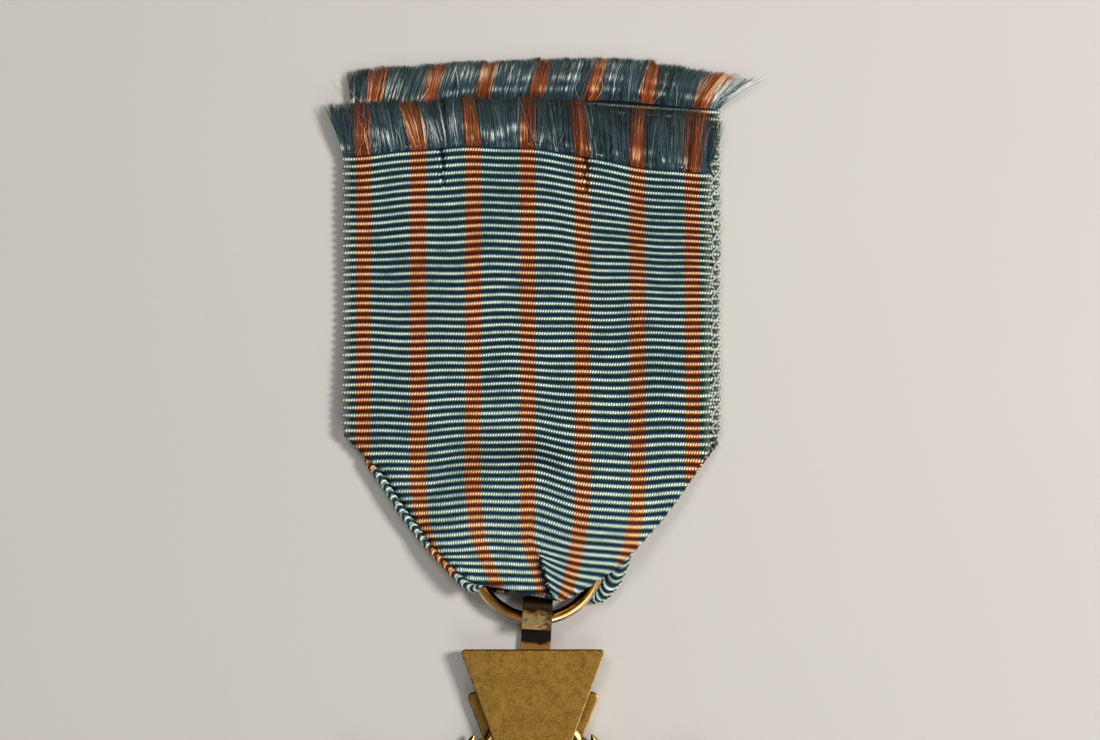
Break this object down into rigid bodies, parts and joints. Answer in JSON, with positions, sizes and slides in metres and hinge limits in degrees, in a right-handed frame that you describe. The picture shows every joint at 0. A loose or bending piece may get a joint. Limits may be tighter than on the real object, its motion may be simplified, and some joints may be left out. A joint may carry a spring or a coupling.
{
  "type": "military service medal",
  "caption": "Brass cross medal with a laurel wreath, hung by a bail and wire ring from a folded, striped, ribbed ribbon with frayed ends, lying face up.",
  "frame": {"origin": "centre of the cross's back face, on the surface that the medal lies on", "axes": "+Z out of the face, +Y from the cross up the ribbon, +X across the ribbon to the right as the medal is read"},
  "size_m": [0.0379, 0.0943, 0.0033],
  "materials": {
    "ribbon_cloth": "matte ribbed weave, teal blue with orange stripes",
    "ribbon_threads": "silky loose warp threads",
    "cross_brass": "fine-grained matte, browned",
    "medallion_brass": "satin, browned",
    "ring_brass": "polished, worn bright",
    "bail_brass": "blackened, dull",
    "solder": "dull grey"
  },
  "bodies": {
    "ribbon": {"front_panel": "ribbon_cloth", "back_panel": "ribbon_cloth", "front_fringe": "ribbon_threads", "back_fringe": "ribbon_threads"},
    "ribbon_fold": {"front_fold": "ribbon_cloth", "back_fold": "ribbon_cloth", "ring_loop": "ribbon_cloth"},
    "ring": {"suspension_ring": "ring_brass"},
    "cross": {"suspension_bail": "bail_brass", "bail_solder": "solder", "front_cross": "cross_brass", "rear_cross": "cross_brass", "laurel_wreath": "cross_brass", "medallion_disc": "medallion_brass", "medallion_rim": "medallion_brass", "medallion_star": "medallion_brass", "reverse_medallion": "medallion_brass", "centre_rivet": "bail_brass"}
  },
  "joints": [
    {"name": "ribbon_bend", "type": "hinge", "parent": "ribbon", "child": "ribbon_fold", "pos_m": [0, 0.04, 0.00336], "axis": [-1, 0, 0], "range_deg": [0, 75]},
    {"name": "ring_sway", "type": "hinge", "parent": "ribbon_fold", "child": "ring", "pos_m": [0.0004, 0.02744, 0.0015], "axis": [0, 0, 1], "range_deg": [-30, 30]},
    {"name": "cross_swing", "type": "hinge", "parent": "ring", "child": "cross", "pos_m": [0.0004, 0.02107, 0.0015], "axis": [-1, 0, 0], "range_deg": [0, 90]}
  ]
}
